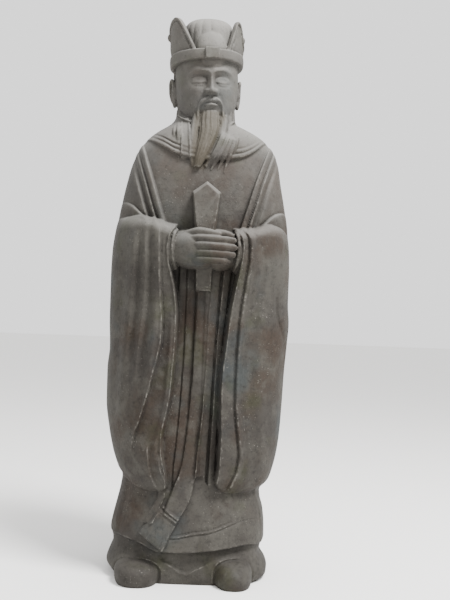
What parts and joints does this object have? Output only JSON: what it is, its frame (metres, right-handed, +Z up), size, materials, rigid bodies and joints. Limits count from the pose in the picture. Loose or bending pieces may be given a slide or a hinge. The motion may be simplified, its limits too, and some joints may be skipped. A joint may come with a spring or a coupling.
{
  "type": "standing robed official statue",
  "caption": "Standing cast-stone figure in a long-sleeved robe and peaked hat, bearded, holding a court tablet in clasped hands, on its own low base.",
  "frame": {"origin": "middle of the flat underside of the base, below the upright axis of the figure", "axes": "+Z up through the head, -Y the way the figure faces, +X towards the figure's left hand"},
  "size_m": [0.3244, 0.2808, 1],
  "materials": {
    "stone": "matt cast lava stone, worn paler on the raised edges"
  },
  "bodies": {
    "root": {"statue": "stone"}
  },
  "joints": []
}
